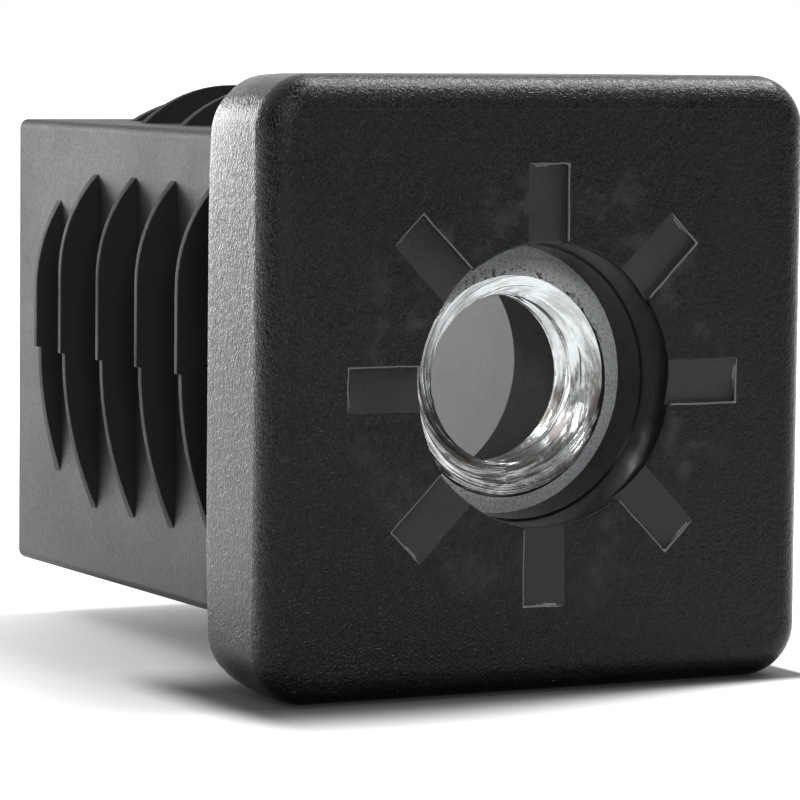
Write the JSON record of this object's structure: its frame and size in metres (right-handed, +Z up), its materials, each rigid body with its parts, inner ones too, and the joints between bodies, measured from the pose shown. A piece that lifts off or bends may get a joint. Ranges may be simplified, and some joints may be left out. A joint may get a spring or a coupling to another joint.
{
  "type": "threaded tube plug",
  "caption": "Moulded plastic plug for the end of a square tube, with curved fins that grip the tube and a steel threaded insert in its head.",
  "frame": {"origin": "on the thread's axis, half way along the threaded bore of the steel insert", "axes": "+Y along the thread's axis from the head into the tube, +Z up with the plug lying on its side, +X to the right seen from the front"},
  "size_m": [0.025, 0.0312, 0.025],
  "materials": {
    "moulded_plastic": "black, fine spark-eroded texture on the head, smooth on the stem",
    "zinc_steel": "bright zinc plating over turned steel"
  },
  "bodies": {
    "root": {"plug_body": "moulded_plastic", "threaded_insert": "zinc_steel"}
  },
  "joints": []
}
